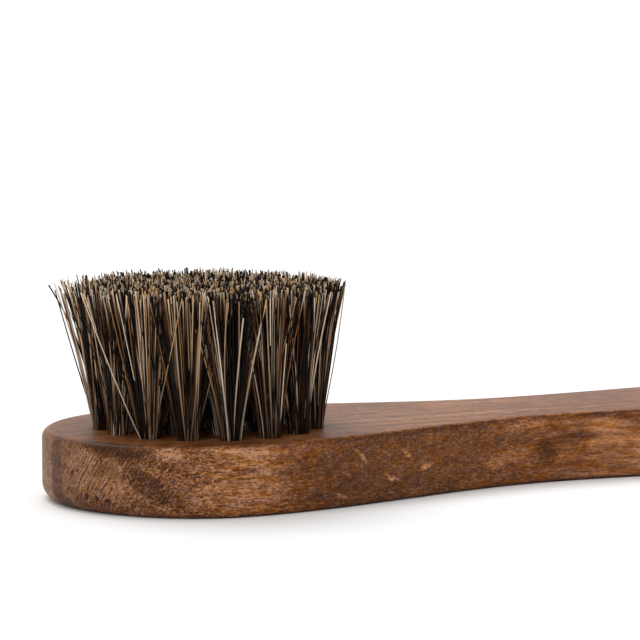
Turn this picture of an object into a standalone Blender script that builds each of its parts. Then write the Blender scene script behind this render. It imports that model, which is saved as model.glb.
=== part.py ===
"""Polish dauber: a round-headed wooden paddle with flaring hair tufts, each held by a wire staple.

Metres, +Z up. The origin is on the flat underside, below the middle of the ring of tufts.
The handle runs along +X and the tufts stand up along +Z.
"""

import math
import random

import bmesh
import bpy
from mathutils import Vector
from mathutils.geometry import delaunay_2d_cdt

MM = 0.001

# Board outline, seen from above. Lengths chain along +X from the middle of the head's round tip.
HEAD_RADIUS = 25.0 * MM
HEAD_TO_NECK = 65.0 * MM
NECK_HALF_WIDTH = 12.2 * MM
NECK_TO_GRIP = 53.0 * MM
GRIP_HALF_WIDTH = 16.2 * MM
GRIP_TO_BUTT = 32.0 * MM
TUFTS_AHEAD_OF_TIP_CENTRE = 3.4 * MM

# Board section
BOARD_THICKNESS = 12.0 * MM
EDGE_ROUND = 1.5 * MM
WOOD_UNDER_LEGS = 2.3 * MM

# Tufts: how many stand in each ring, from the middle out
TUFT_COUNTS = {"inner": 4, "middle": 9, "outer": 16}

# Tufts: the folded bundle in its drilled hole, and the hair that flares from it
FIRST_RING_IN_PITCHES = 0.7
RIM_OUTSIDE_HOLES = 5.0 * MM
BUNDLE_RADIUS = 1.7 * MM
HAIR_LENGTH = 24.2 * MM
TRIM_UNEVENNESS = 0.4 * MM
BRUSH_TOP_RADIUS = 24.0 * MM
TUFT_GAP_AT_TOP = 0.2 * MM
STRAND_SIDES = 3
STRAND_RADIUS_SHARE = 0.19
FLARE_POWER = 1.3
BEND_HEIGHT_SHARE = 0.4
STRAND_RINGS = ((3, 0.32), (9, 0.76))
FOLD_INSET = 0.1 * MM
HAIR_SEED = 7

# Staples: round wire, crown across the board, legs bitten into the wood below the hole
WIRE_RADIUS = 0.25 * MM
LEG_INSET = 0.2 * MM
LEG_BITE = 2.6 * MM
BEND_INSET = 0.2 * MM
CROWN_BEND = math.radians(90.0)
WIRE_TIP_SHARE = 1 / 3

# Clearance between pieces that touch on the real brush, and the drill's half angle
SEAT_GAP = 0.3 * MM
DRILL_HALF_ANGLE = math.radians(59.0)

# Facets
ROUND_STEPS = 9
SHOULDER_STEPS = 10
GRIP_STEPS = 6
EDGE_SEGMENTS = 3
HOLE_SIDES = 12
BUNDLE_SIDES = 10
WIRE_SIDES = 6
FOLD_STEPS = 4
RIM_ANGLE_LIMIT = math.radians(60.0)
SHARP_ANGLE = math.radians(35.0)
SAME_POINT = 1e-7

# Sizes that follow from the ones above
HEAD_X = -TUFTS_AHEAD_OF_TIP_CENTRE
NECK_X = HEAD_X + HEAD_TO_NECK
GRIP_X = NECK_X + NECK_TO_GRIP
HOLE_RADIUS = BUNDLE_RADIUS + SEAT_GAP
OUTER_RING_RADIUS = HEAD_RADIUS - RIM_OUTSIDE_HOLES - HOLE_RADIUS
RING_PITCH = OUTER_RING_RADIUS / (len(TUFT_COUNTS) - 1 + FIRST_RING_IN_PITCHES)
LEG_OFFSET = BUNDLE_RADIUS - WIRE_RADIUS - LEG_INSET
CHANNEL_RADIUS = WIRE_RADIUS + SEAT_GAP
FOLD_REACH = BUNDLE_RADIUS * math.cos(math.pi / BUNDLE_SIDES) - FOLD_INSET
LEG_TIP_Z = WOOD_UNDER_LEGS + SEAT_GAP
HOLE_SHOULDER_Z = LEG_TIP_Z + LEG_BITE
HOLE_TIP_Z = HOLE_SHOULDER_Z - HOLE_RADIUS / math.tan(DRILL_HALF_ANGLE)
CROWN_Z = HOLE_TIP_Z + (FOLD_REACH + SEAT_GAP) / math.sin(DRILL_HALF_ANGLE)


def clear_scene():
    for old in list(bpy.data.objects):
        bpy.data.objects.remove(old, do_unlink=True)


def make_material(name, colour, roughness, metallic=0.0):
    material = bpy.data.materials.new(name)
    material.use_nodes = True
    shader = material.node_tree.nodes["Principled BSDF"]
    shader.inputs["Base Color"].default_value = (*colour, 1.0)
    shader.inputs["Roughness"].default_value = roughness
    shader.inputs["Metallic"].default_value = metallic
    return material


def new_object(name, mesh, material, location=(0, 0, 0), parent=None):
    thing = bpy.data.objects.new(name, mesh)
    thing.location = location
    thing.parent = parent
    if material and not mesh.materials:
        mesh.materials.append(material)
    bpy.context.scene.collection.objects.link(thing)
    return thing


def finish_mesh(name, bm):
    """Turn the faces outwards and hand over a smooth-shaded mesh that keeps its sharp edges."""
    bmesh.ops.recalc_face_normals(bm, faces=bm.faces)
    mesh = bpy.data.meshes.new(name)
    bm.to_mesh(mesh)
    bm.free()
    mesh.shade_smooth()
    mesh.set_sharp_from_angle(angle=SHARP_ANGLE)
    return mesh


def add_ring(bm, points):
    return [bm.verts.new(point) for point in points]


def bridge(bm, ring, next_ring):
    """Join two rings of equally many vertices with a band of quads."""
    count = len(ring)
    for i in range(count):
        j = (i + 1) % count
        bm.faces.new((ring[i], ring[j], next_ring[j], next_ring[i]))


def add_tube(bm, rings):
    """Join rings in order into an open tube, and return its last ring of vertices."""
    last = rings[0]
    for ring in rings[1:]:
        bridge(bm, last, ring)
        last = ring
    return last


def circle(sides, radius, centre=(0.0, 0.0), z=0.0, turn=0.0):
    points = []
    for i in range(sides):
        angle = turn + 2 * math.pi * i / sides
        x = centre[0] + radius * math.cos(angle)
        y = centre[1] + radius * math.sin(angle)
        points.append(Vector((x, y, z)))
    return points


def fill_round_openings(bm, rim, openings):
    """Fill a flat rim with triangles, leaving out the openings.

    The rim and the openings are rings of vertices that run anticlockwise, seen from above.
    """
    rings = [rim, *openings]
    verts = [vert for ring in rings for vert in ring]
    outlines = []
    for ring in rings:
        start = sum(len(outline) for outline in outlines)
        outlines.append(list(range(start, start + len(ring))))
    flat_points = [Vector((vert.co.x, vert.co.y)) / MM for vert in verts]
    inside_outlines = 1
    result = delaunay_2d_cdt(flat_points, [], outlines, inside_outlines, SAME_POINT)
    triangles, source_points, source_outlines = result[2], result[3], result[5]
    for corners, inside in zip(triangles, source_outlines):
        if len(inside) == 1:
            bm.faces.new([verts[source_points[corner][0]] for corner in corners])


def smooth_step(start, end, share):
    """Ease from start to end, level at both, as share goes from 0 to 1."""
    return start + (end - start) * share * share * (3 - 2 * share)


def half_outline():
    """(x, half width) from the middle of the tip to the middle of the butt."""
    points = []
    for i in range(ROUND_STEPS):
        angle = math.pi / 2 * i / ROUND_STEPS
        points.append((HEAD_X - HEAD_RADIUS * math.cos(angle), HEAD_RADIUS * math.sin(angle)))
    for i in range(SHOULDER_STEPS):
        share = i / SHOULDER_STEPS
        width = smooth_step(HEAD_RADIUS, NECK_HALF_WIDTH, share)
        points.append((HEAD_X + share * HEAD_TO_NECK, width))
    for i in range(GRIP_STEPS):
        share = i / GRIP_STEPS
        width = smooth_step(NECK_HALF_WIDTH, GRIP_HALF_WIDTH, share)
        points.append((NECK_X + share * NECK_TO_GRIP, width))
    for i in range(ROUND_STEPS + 1):
        angle = math.pi / 2 * i / ROUND_STEPS
        width = GRIP_HALF_WIDTH * math.cos(angle) if i < ROUND_STEPS else 0.0
        points.append((GRIP_X + GRIP_TO_BUTT * math.sin(angle), width))
    return points


def tuft_places():
    """Name and centre of every hole, ring by ring from the middle out."""
    places = []
    for ring, (label, count) in enumerate(TUFT_COUNTS.items()):
        radius = RING_PITCH * (FIRST_RING_IN_PITCHES + ring)
        half_turn_step = math.pi / count
        centres = circle(count, radius, turn=half_turn_step)
        for number, centre in enumerate(centres, start=1):
            places.append((f"{label}_{number:02d}", centre))
    return places


def closest_tufts(places):
    """Smallest distance between the centres of two tufts."""
    centres = [centre for _, centre in places]
    gaps = []
    for i, centre in enumerate(centres):
        gaps.extend((other - centre).length for other in centres[i + 1:])
    return min(gaps)


def drill_cutter(places):
    """Blind holes with the cone that the drill point leaves, open above the board."""
    bm = bmesh.new()
    for _, centre in places:
        spot = (centre.x, centre.y)
        above = BOARD_THICKNESS + SEAT_GAP
        rings = [
            add_ring(bm, circle(HOLE_SIDES, HOLE_RADIUS, spot, above)),
            add_ring(bm, circle(HOLE_SIDES, HOLE_RADIUS, spot, HOLE_SHOULDER_Z)),
        ]
        bm.faces.new(rings[0])
        shoulder = add_tube(bm, rings)
        tip = bm.verts.new((centre.x, centre.y, HOLE_TIP_Z))
        for i, vert in enumerate(shoulder):
            bm.faces.new((vert, shoulder[(i + 1) % HOLE_SIDES], tip))
    return bm


def leg_cutter(places):
    """The pair of narrow channels that each staple's legs press into the wood."""
    bm = bmesh.new()
    for _, centre in places:
        for side in (-1, 1):
            spot = (centre.x, centre.y + side * LEG_OFFSET)
            top = add_ring(bm, circle(WIRE_SIDES, CHANNEL_RADIUS, spot, CROWN_Z))
            foot = add_ring(bm, circle(WIRE_SIDES, CHANNEL_RADIUS, spot, WOOD_UNDER_LEGS))
            bridge(bm, top, foot)
            bm.faces.new(top)
            bm.faces.new(foot)
    return bm


def add_cut(board, name, bm):
    cutter = new_object(name, finish_mesh(name, bm), None, parent=board)
    cutter.hide_render = True
    cutter.display_type = "WIRE"
    cut = board.modifiers.new(name, "BOOLEAN")
    cut.operation = "DIFFERENCE"
    cut.solver = "EXACT"
    cut.object = cutter


def make_handle(places, material):
    """The paddle: an extruded outline with rounded rims, then drilled for the tufts."""
    half = half_outline()
    outline = half + [(x, -width) for x, width in reversed(half[1:-1])]
    bm = bmesh.new()
    bottom = add_ring(bm, [(x, y, 0.0) for x, y in outline])
    top = add_ring(bm, [(x, y, BOARD_THICKNESS) for x, y in outline])
    bm.faces.new(bottom)
    bm.faces.new(top)
    bridge(bm, bottom, top)
    handle = new_object("handle", finish_mesh("handle", bm), material)
    rims = handle.modifiers.new("rounded rims", "BEVEL")
    rims.width = EDGE_ROUND
    rims.segments = EDGE_SEGMENTS
    rims.limit_method = "ANGLE"
    rims.angle_limit = RIM_ANGLE_LIMIT
    add_cut(handle, "drilled_holes", drill_cutter(places))
    add_cut(handle, "leg_channels", leg_cutter(places))
    return handle


def add_fold(bm, under):
    """The hair that runs down past the staple's crown, folds under it and comes back up.

    The band is as wide as the space between the legs. It hangs from two footprints in the
    bundle's underside, at height under, and its tunnel for the crown lies along Y.
    """
    half_width = LEG_OFFSET - CHANNEL_RADIUS
    crown = CROWN_Z - BOARD_THICKNESS
    outer = math.sqrt(FOLD_REACH ** 2 - half_width ** 2)
    inner = CHANNEL_RADIUS

    def band(cos, sin, lift):
        near = (inner * cos, crown + lift - inner * sin)
        far = (outer * cos, crown + lift - outer * sin)
        corners = [(near, -half_width), (far, -half_width), (far, half_width), (near, half_width)]
        return add_ring(bm, [(x, y, z) for (x, z), y in corners])

    first = band(1.0, 0.0, under - crown)
    rings = [first]
    for i in range(FOLD_STEPS + 1):
        angle = math.pi * i / FOLD_STEPS
        rings.append(band(math.cos(angle), math.sin(angle), 0.0))
    last = band(-1.0, 0.0, under - crown)
    rings.append(last)
    add_tube(bm, rings)
    return [first, last[::-1]]


def add_strand(bm, base, levels, turn, chance):
    """One lock of hair from its footprint to its cut tip, through the given levels."""
    rings = []
    for centre, radius in levels:
        corners = circle(STRAND_SIDES, radius, centre.xy, centre.z, turn)
        rings.append(add_ring(bm, corners))
    for vert in rings[-1]:
        vert.co.z -= chance * TRIM_UNEVENNESS
    tip = add_tube(bm, rings)
    bm.faces.new(tip)
    base.append(rings[0])


def make_tuft_mesh(name, centre, top_scale, top_radius, rng):
    """A folded bundle with its flaring strands, with the hole's mouth as its origin."""
    bm = bmesh.new()
    footprints = []
    spin = rng.uniform(0, 2 * math.pi)
    for count, share in STRAND_RINGS:
        for i in range(count):
            angle = spin + 2 * math.pi * i / count
            direction = Vector((math.cos(angle), math.sin(angle), 0.0)) * share
            levels = []
            for height in (0.0, BEND_HEIGHT_SHARE, 1.0):
                flare = height ** FLARE_POWER
                radius = BUNDLE_RADIUS + flare * (top_radius - BUNDLE_RADIUS)
                shift = centre * (top_scale - 1) * flare
                place = shift + direction * radius + Vector((0, 0, height * HAIR_LENGTH))
                levels.append((place, STRAND_RADIUS_SHARE * radius))
            add_strand(bm, footprints, levels, rng.uniform(0, 2 * math.pi), rng.random())
    under = CROWN_Z + CHANNEL_RADIUS - BOARD_THICKNESS
    mouth_ring = add_ring(bm, circle(BUNDLE_SIDES, BUNDLE_RADIUS))
    under_ring = add_ring(bm, circle(BUNDLE_SIDES, BUNDLE_RADIUS, z=under))
    bridge(bm, mouth_ring, under_ring)
    fill_round_openings(bm, mouth_ring, footprints)
    fill_round_openings(bm, under_ring, add_fold(bm, under))
    return finish_mesh(name, bm)


def make_staple_mesh():
    """A U of round wire with its crown along Y and its legs pointing down, tips cut to a point."""
    crown = CROWN_Z - BOARD_THICKNESS
    tip = LEG_TIP_Z - BOARD_THICKNESS
    point = tip + 2 * WIRE_RADIUS
    bm = bmesh.new()

    def section(y, z, lean, radius=WIRE_RADIUS):
        """A ring of wire whose axis is turned by lean from straight down, in the YZ plane."""
        points = []
        for i in range(WIRE_SIDES):
            angle = 2 * math.pi * i / WIRE_SIDES
            out = radius * math.cos(angle)
            across = Vector((radius * math.sin(angle), out * math.cos(lean), out * math.sin(lean)))
            points.append(Vector((0.0, y, z)) + across)
        return add_ring(bm, points)

    bend = LEG_OFFSET - BEND_INSET
    down = 2 * CROWN_BEND
    rings = [
        section(-LEG_OFFSET, tip, 0.0, WIRE_RADIUS * WIRE_TIP_SHARE),
        section(-LEG_OFFSET, point, 0.0),
        section(-LEG_OFFSET, crown - BEND_INSET, -CROWN_BEND / 4),
        section(-bend, crown, -CROWN_BEND * 3 / 4),
        section(bend, crown, -CROWN_BEND * 5 / 4),
        section(LEG_OFFSET, crown - BEND_INSET, -CROWN_BEND * 7 / 4),
        section(LEG_OFFSET, point, -down),
        section(LEG_OFFSET, tip, -down, WIRE_RADIUS * WIRE_TIP_SHARE),
    ]
    bm.faces.new(rings[0])
    bm.faces.new(add_tube(bm, rings))
    return finish_mesh("staple", bm)


def main():
    clear_scene()
    wood = make_material("stained beech", (0.17, 0.10, 0.055), 0.5)
    hair = make_material("mixed hair", (0.16, 0.095, 0.05), 0.6)
    steel = make_material("steel wire", (0.55, 0.56, 0.58), 0.35, 1.0)
    places = tuft_places()
    handle = make_handle(places, wood)
    half_spacing = closest_tufts(places) / 2
    reach = OUTER_RING_RADIUS + half_spacing
    top_scale = (BRUSH_TOP_RADIUS + TUFT_GAP_AT_TOP / 2) / reach
    top_radius = half_spacing * top_scale - TUFT_GAP_AT_TOP / 2
    staple_mesh = make_staple_mesh()
    rng = random.Random(HAIR_SEED)
    for label, centre in places:
        mouth = (centre.x, centre.y, BOARD_THICKNESS)
        tuft_mesh = make_tuft_mesh(f"tuft_{label}", centre, top_scale, top_radius, rng)
        new_object(f"tuft_{label}", tuft_mesh, hair, mouth, handle)
        new_object(f"staple_{label}", staple_mesh, steel, mouth, handle)
    strands = len(places) * sum(count for count, _ in STRAND_RINGS)
    print(f"{len(places)} tufts of {strands} strands, ring pitch {RING_PITCH / MM:.2f} mm")


main()
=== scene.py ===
# %% [markdown]
# # A polish dauber: waxed wood and stiff hair
#
# The dauber is a wooden paddle with a round head. Tufts of stiff, mixed hair stand in drilled holes
# in the head, each folded round a wire staple, and they flare out to one flat trimmed top. The solids
# of all of these come packed in a fixed frame. This lesson dresses them: the wood gets its softened
# rims, grain, pores and wear, and every tuft gets about as many hairs as a real one holds.

# %% Load the fixed frame
import math

import bmesh
import bpy
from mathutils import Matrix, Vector


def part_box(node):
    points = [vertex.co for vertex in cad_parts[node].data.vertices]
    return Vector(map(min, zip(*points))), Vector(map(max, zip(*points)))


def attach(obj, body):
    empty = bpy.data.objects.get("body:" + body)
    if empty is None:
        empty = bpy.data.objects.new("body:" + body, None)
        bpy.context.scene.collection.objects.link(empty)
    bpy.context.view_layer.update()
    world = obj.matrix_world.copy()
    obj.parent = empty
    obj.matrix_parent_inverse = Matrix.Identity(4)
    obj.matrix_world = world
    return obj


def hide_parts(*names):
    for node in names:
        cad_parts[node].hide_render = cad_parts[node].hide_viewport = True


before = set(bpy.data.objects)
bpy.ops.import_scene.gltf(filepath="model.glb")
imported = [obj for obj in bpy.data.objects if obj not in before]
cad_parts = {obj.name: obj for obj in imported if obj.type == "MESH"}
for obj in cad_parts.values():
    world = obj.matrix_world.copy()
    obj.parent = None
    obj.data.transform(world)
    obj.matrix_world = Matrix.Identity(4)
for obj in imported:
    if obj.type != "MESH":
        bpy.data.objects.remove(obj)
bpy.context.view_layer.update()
print("solids in the frame:", len(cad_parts))

# %% [markdown]
# ## Sizes
#
# The paddle's outline follows a rule with a few sizes: a round tip, a shoulder that eases down to the
# neck, a grip that eases out again, and an elliptical butt. The same sizes made the solid, so the
# finished wood has the same outline. The holes are found by asking the frame where each staple is,
# because a staple always stands in the middle of its hole.

# %% Name the sizes of the wood and the hair
MM = 0.001
HEAD_RADIUS = 25.0 * MM
HEAD_X = -3.4 * MM
NECK_X = HEAD_X + 65.0 * MM
NECK_HALF_WIDTH = 12.2 * MM
GRIP_X = NECK_X + 53.0 * MM
GRIP_HALF_WIDTH = 16.2 * MM
BUTT_LENGTH = 32.0 * MM
BOARD_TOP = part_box("handle")[1].z
HOLE_RADIUS = 2.0 * MM
HOLE_FLOOR = 5.2 * MM
DRILL_HALF_ANGLE = math.radians(59)
HAIR_TOP = max(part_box(name)[1].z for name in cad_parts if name.startswith("tuft"))
HAIR_LENGTH = HAIR_TOP - BOARD_TOP

tuft_centres = {}
for name in sorted(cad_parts):
    if name.startswith("staple"):
        low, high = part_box(name)
        tuft_centres[name.replace("staple", "tuft")] = ((low + high) / 2).xy
print("board top at", round(BOARD_TOP / MM, 2), "mm, hair", round(HAIR_LENGTH / MM, 2), "mm long")
print("tufts:", len(tuft_centres))

# %% [markdown]
# ## One way to write node trees
#
# Materials and Geometry Nodes are both graphs of nodes. Written out link by link they are hard to
# read, so three small classes help. `Signal` wraps an output socket, and adding or multiplying two of
# them adds the Math node that does it. `Graph.node` makes any other node from its type, the values or
# links of its sockets, and its settings. `Outputs` hands out that node's results.

# %% Wrap sockets so that they can be added and multiplied
class Signal:
    """An output socket that can stand in a sum or a product."""

    def __init__(self, graph, socket):
        self.graph = graph
        self.socket = socket

    def math(self, operation, *others, clamp=False):
        sockets = dict(enumerate((self, *others)))
        return self.graph.node("ShaderNodeMath", sockets, operation=operation, use_clamp=clamp)[0]

    def __add__(self, other):
        return self.math("ADD", other)

    def __radd__(self, other):
        return self.math("ADD", other)

    def __sub__(self, other):
        return self.math("SUBTRACT", other)

    def __rsub__(self, other):
        return (self * -1).math("ADD", other)

    def __mul__(self, other):
        return self.math("MULTIPLY", other)

    def __truediv__(self, other):
        return self.math("DIVIDE", other)

    def __pow__(self, other):
        return self.math("POWER", other)

    def __gt__(self, other):
        return self.math("GREATER_THAN", other)

    def __abs__(self):
        return self.math("ABSOLUTE")

    def clamp(self):
        return self.math("ADD", 0.0, clamp=True)

    def step(self, low, high):
        """0 below low, 1 above high and a smooth rise between them."""
        sockets = {"Value": self, "From Min": low, "From Max": high}
        return self.graph.node("ShaderNodeMapRange", sockets, interpolation_type="SMOOTHSTEP")[0]


class Outputs:
    """The outputs of one node, picked by number or name."""

    def __init__(self, graph, made):
        self.graph = graph
        self.made = made

    def __getitem__(self, key):
        return Signal(self.graph, self.made.outputs[key])


print("sockets can be added and multiplied")

# %% Make the nodes that are wanted most
class Graph:
    """A node tree that is written as expressions."""

    def __init__(self, tree):
        self.tree = tree

    def node(self, kind, sockets=None, **settings):
        """Make a node: first its settings, because they can change its sockets, then its sockets."""
        made = self.tree.nodes.new(kind)
        for key, value in settings.items():
            setattr(made, key, value)
        for key, value in (sockets or {}).items():
            if isinstance(value, Signal):
                self.tree.links.new(value.socket, made.inputs[key])
            else:
                made.inputs[key].default_value = value
        return Outputs(self, made)

    def vector(self, x, y, z=0.0):
        return self.node("ShaderNodeCombineXYZ", {0: x, 1: y, 2: z})[0]

    def parts(self, vector):
        """A vector's X, Y and Z."""
        return self.node("ShaderNodeSeparateXYZ", {0: vector})

    def noise(self, vector, scale, detail=4.0, roughness=0.55, distortion=0.0):
        """Soft random values from 0 to 1, with about scale lumps to each unit of the vector."""
        shape = {"Scale": scale, "Detail": detail, "Roughness": roughness, "Distortion": distortion}
        return self.node("ShaderNodeTexNoise", {"Vector": vector, **shape})["Fac"]

    def white_noise(self, number):
        """A random value and a random colour for each whole or half number."""
        return self.node("ShaderNodeTexWhiteNoise", {"W": number}, noise_dimensions="1D")

    def ramp(self, value, stops):
        """A colour for a value, from stops of (value, colour)."""
        made = self.node("ShaderNodeValToRGB", {"Fac": value})
        elements = made.made.color_ramp.elements
        while len(elements) < len(stops):
            elements.new(0.5)
        for element, (position, colour) in zip(elements, stops):
            element.position = position
            element.color = (*colour, 1.0)
        return made["Color"]

    def mix(self, factor, first, second):
        """Blend two colours. 0, 6 and 7 are the Mix node's factor and its two colours, 2 is its result."""
        sockets = {0: factor, 6: first, 7: second}
        for key in (6, 7):
            if isinstance(sockets[key], tuple):
                sockets[key] = (*sockets[key], 1.0)
        return self.node("ShaderNodeMix", sockets, data_type="RGBA")[2]

    def surface(self, sockets):
        """Give the material one Principled surface."""
        shader = self.node("ShaderNodeBsdfPrincipled", sockets)
        self.node("ShaderNodeOutputMaterial", {"Surface": shader[0]})


def new_material(name):
    """An empty material and its graph."""
    material = bpy.data.materials.new(name)
    material.use_nodes = True
    material.node_tree.nodes.clear()
    return material, Graph(material.node_tree)


print("node helpers ready")

# %% Make objects and meshes
def add_object(name, data):
    """A new object at the origin."""
    thing = bpy.data.objects.new(name, data)
    bpy.context.scene.collection.objects.link(thing)
    return thing


def closed_mesh(name, bm):
    """Turn all faces outwards and write them to a new mesh."""
    bmesh.ops.recalc_face_normals(bm, faces=bm.faces)
    mesh = bpy.data.meshes.new(name)
    bm.to_mesh(mesh)
    bm.free()
    return mesh


def bake_modifiers(thing):
    """Replace an object's mesh with its evaluated one and take its modifiers away."""
    depsgraph = bpy.context.evaluated_depsgraph_get()
    mesh = bpy.data.meshes.new_from_object(thing.evaluated_get(depsgraph))
    thing.modifiers.clear()
    thing.data = mesh


print("object helpers ready")

# %% [markdown]
# ## Camera, light and floor
#
# The photograph was taken from low down with a long lens, so the board looks almost flat-on and its
# top is a thin bright strip. The camera's place was worked out from the outline of the board. The
# light is plain and soft: a white surround, a broad soft light from above and behind, and a weaker
# one from the front left. A white floor catches the shadow.

# %% Place the camera
CAMERA_PLACE = (-0.2532, -0.5817, 0.0981)
CAMERA_PITCH_DOWN = math.radians(6.13)
CAMERA_TURN = math.radians(-25.24)
LENS_MM = 211.8
SENSOR_MM = 36.0

camera_data = bpy.data.cameras.new("camera")
camera_data.lens = LENS_MM
camera_data.sensor_width = SENSOR_MM
camera = add_object("camera", camera_data)
camera.location = CAMERA_PLACE
camera.rotation_euler = (math.pi / 2 - CAMERA_PITCH_DOWN, 0, CAMERA_TURN)
bpy.context.scene.camera = camera
bpy.context.scene.view_settings.view_transform = "Standard"
print("camera at", [round(value, 4) for value in camera.location])

# %% Light the scene softly
SURROUND = 0.55
SUNS = {
    "key from above and behind": {"azimuth": 182, "elevation": 64, "strength": 1.62, "softness": 44},
    "fill from the front left": {"azimuth": -50, "elevation": 35, "strength": 0.9, "softness": 60},
}


def add_sun(name, azimuth, elevation, strength, softness):
    """A distant light. All angles are in degrees, and an azimuth of 0 is -Y, the camera's side."""
    data = bpy.data.lights.new(name, "SUN")
    data.energy = strength
    data.angle = math.radians(softness)
    turn, rise = math.radians(azimuth), math.radians(elevation)
    level = Vector((math.sin(turn), -math.cos(turn), 0)) * math.cos(rise)
    source = level + Vector((0, 0, math.sin(rise)))
    add_object(name, data).rotation_euler = source.to_track_quat("Z", "Y").to_euler()


for name, sun in SUNS.items():
    add_sun(name, **sun)

world = bpy.data.worlds.new("white surround")
bpy.context.scene.world = world
world.use_nodes = True
world.node_tree.nodes.clear()
sky = Graph(world.node_tree)
ray = sky.node("ShaderNodeLightPath")
seen = ray["Is Camera Ray"].math("MAXIMUM", ray["Is Glossy Ray"])
seen = seen.math("MAXIMUM", ray["Is Transmission Ray"])
brightness = SURROUND + seen * (1.0 - SURROUND)
glow = sky.node("ShaderNodeBackground", {"Color": (1, 1, 1, 1), "Strength": brightness})
sky.node("ShaderNodeOutputWorld", {"Surface": glow[0]})
print("soft lamps:", len(SUNS))

# %% Lay the floor
FLOOR_HALF_SIZE = 40.0
FLOOR_WHITE = 0.955

floor_mesh = bpy.data.meshes.new("floor")
quarters = ((-1, -1), (1, -1), (1, 1), (-1, 1))
corners = [(x * FLOOR_HALF_SIZE, y * FLOOR_HALF_SIZE, 0) for x, y in quarters]
floor_mesh.from_pydata(corners, [], [(0, 1, 2, 3)])
floor = add_object("floor", floor_mesh)
paper, g = new_material("matt white paper")
matt = g.node("ShaderNodeBsdfDiffuse", {"Color": (FLOOR_WHITE,) * 3 + (1,)})
g.node("ShaderNodeOutputMaterial", {"Surface": matt[0]})
floor_mesh.materials.append(paper)
print("floor laid")

# %% [markdown]
# ## The wooden paddle
#
# Such a paddle can be sawn to its outline, rounded along its rims and then sanded. In the photograph
# its rim is rounder at the tip, where it is knocked most, and crisper along the neck. A Bevel
# modifier gives one width all round, so the paddle is built here ring by ring instead: each ring
# follows the outline, drawn in and raised by the rounding at that place.

# %% Work out the outline
TIP_STEPS = 26
SHOULDER_STEPS = 34
GRIP_STEPS = 24
BUTT_STEPS = 24


def ease(start, end, share):
    """From start to end, level at both."""
    return start + (end - start) * share * share * (3 - 2 * share)


def half_outline():
    """(x, half width) from the tip's middle to the butt's middle, along one side."""
    points = []
    for i in range(TIP_STEPS):
        angle = math.pi / 2 * i / TIP_STEPS
        points.append((HEAD_X - HEAD_RADIUS * math.cos(angle), HEAD_RADIUS * math.sin(angle)))
    for i in range(SHOULDER_STEPS):
        share = i / SHOULDER_STEPS
        width = ease(HEAD_RADIUS, NECK_HALF_WIDTH, share)
        points.append((HEAD_X + share * (NECK_X - HEAD_X), width))
    for i in range(GRIP_STEPS):
        share = i / GRIP_STEPS
        width = ease(NECK_HALF_WIDTH, GRIP_HALF_WIDTH, share)
        points.append((NECK_X + share * (GRIP_X - NECK_X), width))
    for i in range(BUTT_STEPS + 1):
        angle = math.pi / 2 * i / BUTT_STEPS
        width = GRIP_HALF_WIDTH * math.cos(angle) if i < BUTT_STEPS else 0.0
        points.append((GRIP_X + BUTT_LENGTH * math.sin(angle), width))
    return points


half = half_outline()
outline = [Vector((x, -y)) for x, y in half] + [Vector((x, y)) for x, y in reversed(half[1:-1])]
print("outline points:", len(outline))

# %% Measure the way along the rim
lengths = [(Vector(b) - Vector(a)).length for a, b in zip(half, half[1:])]
distances = [sum(lengths[:i]) for i in range(len(half))]
print("from tip to butt along one side:", round(distances[-1] / MM, 1), "mm")

# %% Build the paddle with its worn rims
TOP_RIM_AT_TIP = 1.5 * MM
UNDER_RIM_AT_TIP = 3.0 * MM
TOP_RIM_ALONG_SIDES = 0.45 * MM
UNDER_RIM_ALONG_SIDES = 0.9 * MM
RIM_STEPS = 7
SIDE_MAP = "side map"


def rim_radius(x, top):
    """Rounding of the upper or the lower rim, from the tip to the widest place of the head."""
    share = min((x - HEAD_X + HEAD_RADIUS) / HEAD_RADIUS, 1.0)
    if top:
        return ease(TOP_RIM_AT_TIP, TOP_RIM_ALONG_SIDES, share)
    return ease(UNDER_RIM_AT_TIP, UNDER_RIM_ALONG_SIDES, share)


def outward(points, i):
    """The outline's outward direction at point i."""
    along = points[(i + 1) % len(points)] - points[i - 1]
    return Vector((along.y, -along.x)).normalized()


def paddle_ring(turn, top):
    """The outline on the rim, turn being 0 on the flat face and a quarter turn on the side."""
    ring = []
    for i, point in enumerate(outline):
        radius = rim_radius(point.x, top)
        place = point - outward(outline, i) * radius * (1 - math.sin(turn))
        lift = radius * (1 - math.cos(turn))
        ring.append((place.x, place.y, BOARD_TOP - lift if top else lift))
    return ring


def map_side(face, map_layer, front, number_of):
    """Write each corner's distance from the tip and its height into the side map."""
    for corner in face.loops:
        number = number_of[corner.vert]
        distance = distances[number if number < len(half) else len(outline) - number]
        corner[map_layer].uv = (distance if front else -distance, corner.vert.co.z)


def build_paddle():
    bm = bmesh.new()
    map_layer = bm.loops.layers.uv.new(SIDE_MAP)
    number_of = {}
    rings = []
    for top in (False, True):
        turns = [math.pi / 2 * i / RIM_STEPS for i in range(RIM_STEPS + 1)]
        for turn in reversed(turns) if top else turns:
            rings.append([bm.verts.new(place) for place in paddle_ring(turn, top)])
            number_of.update({vert: i for i, vert in enumerate(rings[-1])})
    for low, high in zip(rings, rings[1:]):
        for i in range(len(low)):
            j = (i + 1) % len(low)
            face = bm.faces.new((low[i], low[j], high[j], high[i]))
            map_side(face, map_layer, i < len(half) - 1, number_of)
    bm.faces.new(rings[0])
    bm.faces.new(rings[-1])
    return closed_mesh("wooden_paddle", bm)


paddle = add_object("wooden_paddle", build_paddle())
print("paddle faces:", len(paddle.data.polygons))

# %% [markdown]
# ## Drill the holes
#
# A drill leaves a round hole with a cone at its bottom. One cutter holds all of them, and a Boolean
# takes it out of the paddle. The evaluated result then replaces the paddle's mesh, so that nothing
# live is left on it.

# %% Cut one blind hole for each tuft
HOLE_SIDES = 28
WOOD_CREASE = math.radians(35)


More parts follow.
